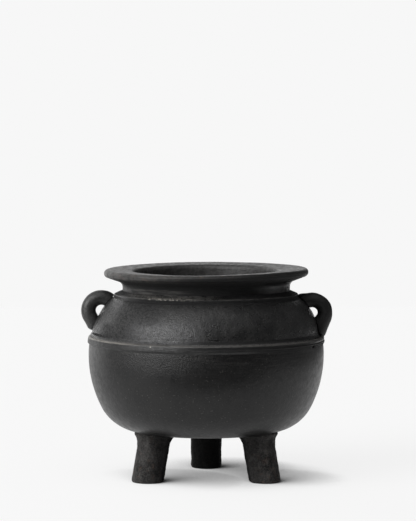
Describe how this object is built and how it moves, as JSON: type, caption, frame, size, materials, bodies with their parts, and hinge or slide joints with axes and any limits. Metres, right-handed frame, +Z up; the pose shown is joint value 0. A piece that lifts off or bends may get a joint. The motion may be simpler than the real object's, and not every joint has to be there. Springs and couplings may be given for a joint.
{
  "type": "cauldron planter",
  "caption": "Round-bellied black clay cauldron planter with a flared lip on a short neck, a cordon round the belly, loop ears at the sides and stubby splayed legs.",
  "frame": {"origin": "centre of the bounding box on the floor, which is the pot's axis at the level of the soles", "axes": "+Z up along the pot's axis, +X through the ears towards the right one, -Y towards the viewer, with the single leg at the back on +Y"},
  "size_m": [0.3555, 0.3354, 0.2974],
  "materials": {
    "moulded_clay": "smooth black fired clay, unglazed, soft satin",
    "worked_clay": "grainy black fired clay, unglazed, rubbed to a soft satin on its high spots",
    "thrown_clay": "black fired clay with fine turning lines, unglazed",
    "rolled_clay": "black fired clay, hand rolled, unglazed",
    "leg_clay": "black fired clay, hand rolled, unglazed, browner towards the sole"
  },
  "bodies": {
    "root": {"bowl": "moulded_clay", "shoulder": "worked_clay", "neck_collar": "thrown_clay", "shoulder_cordon": "thrown_clay", "ear_left": "rolled_clay", "ear_right": "rolled_clay", "leg_front_left": "leg_clay", "leg_front_right": "leg_clay", "leg_rear": "leg_clay"}
  },
  "joints": []
}
